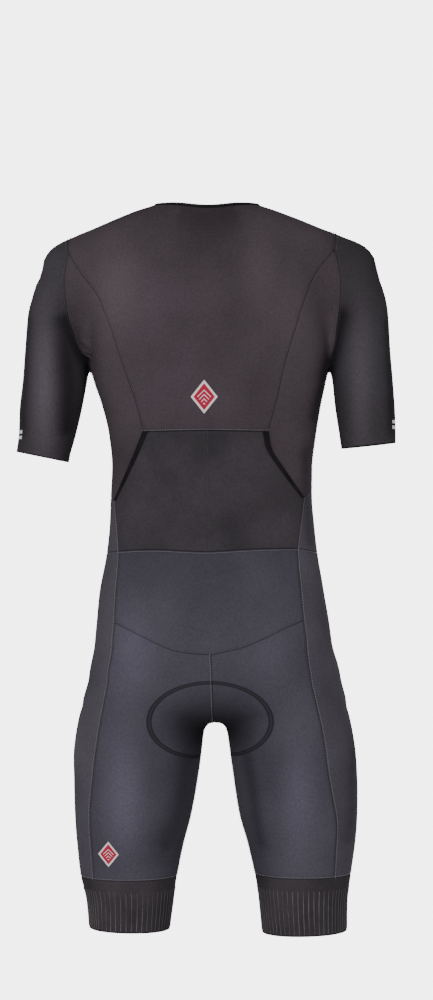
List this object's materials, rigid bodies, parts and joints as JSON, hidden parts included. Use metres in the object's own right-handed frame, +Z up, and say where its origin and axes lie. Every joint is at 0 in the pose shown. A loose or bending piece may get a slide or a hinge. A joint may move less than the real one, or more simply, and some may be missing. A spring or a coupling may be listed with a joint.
{
  "type": "triathlon suit",
  "caption": "Short-sleeved one-piece triathlon suit in its hollow worn form, with a back pocket, ribbed leg grippers, a seat pad and a front zip.",
  "frame": {"origin": "centre of the neck opening, level with the tops of the shoulders", "axes": "+Z up the wearer, -Y the wearer's front, +Y the back, +X the wearer's left"},
  "size_m": [0.5194, 0.2374, 0.9969],
  "materials": {
    "sheer_knit": "fine open mesh, matt",
    "pocket_knit": "fine stretch mesh, matt",
    "sleeve_knit": "smooth stretch knit, soft sheen",
    "shorts_knit": "compressive knit, soft sheen",
    "side_panel_knit": "smooth knit, matt",
    "gripper_knit": "ribbed elastic knit, matt",
    "elastic_binding": "woven elastic, matt",
    "pad_foam": "soft foam under knit, matt",
    "zip_tape": "woven tape with plastic teeth",
    "zip_metal": "black enamelled metal, satin"
  },
  "bodies": {
    "suit": {"back_upper": "sheer_knit", "pocket_inner": "sheer_knit", "pocket": "pocket_knit", "pocket_binding_left": "elastic_binding", "pocket_binding_right": "elastic_binding", "side_back_left": "sheer_knit", "side_insert_left": "side_panel_knit", "side_back_right": "sheer_knit", "side_insert_right": "side_panel_knit", "front_left": "sheer_knit", "front_right": "sheer_knit", "zip_tape": "zip_tape", "neck_binding_left": "elastic_binding", "neck_binding_right": "elastic_binding", "sleeve_left": "sleeve_knit", "sleeve_right": "sleeve_knit", "back_yoke": "shorts_knit", "side_leg_left": "side_panel_knit", "side_leg_right": "side_panel_knit", "back_leg_left": "shorts_knit", "back_leg_right": "shorts_knit", "front_leg_left": "shorts_knit", "front_leg_right": "shorts_knit", "gripper_left": "gripper_knit", "gripper_right": "gripper_knit", "seat_pad": "pad_foam", "zip_slider": "zip_metal"},
    "pull": {"zip_pull": "zip_metal"}
  },
  "joints": [
    {"name": "pull_swing", "type": "hinge", "parent": "suit", "child": "pull", "pos_m": [-0.0013, -0.09504, -0.07732], "axis": [-1, 0, 0], "range_deg": [0, 160]}
  ]
}
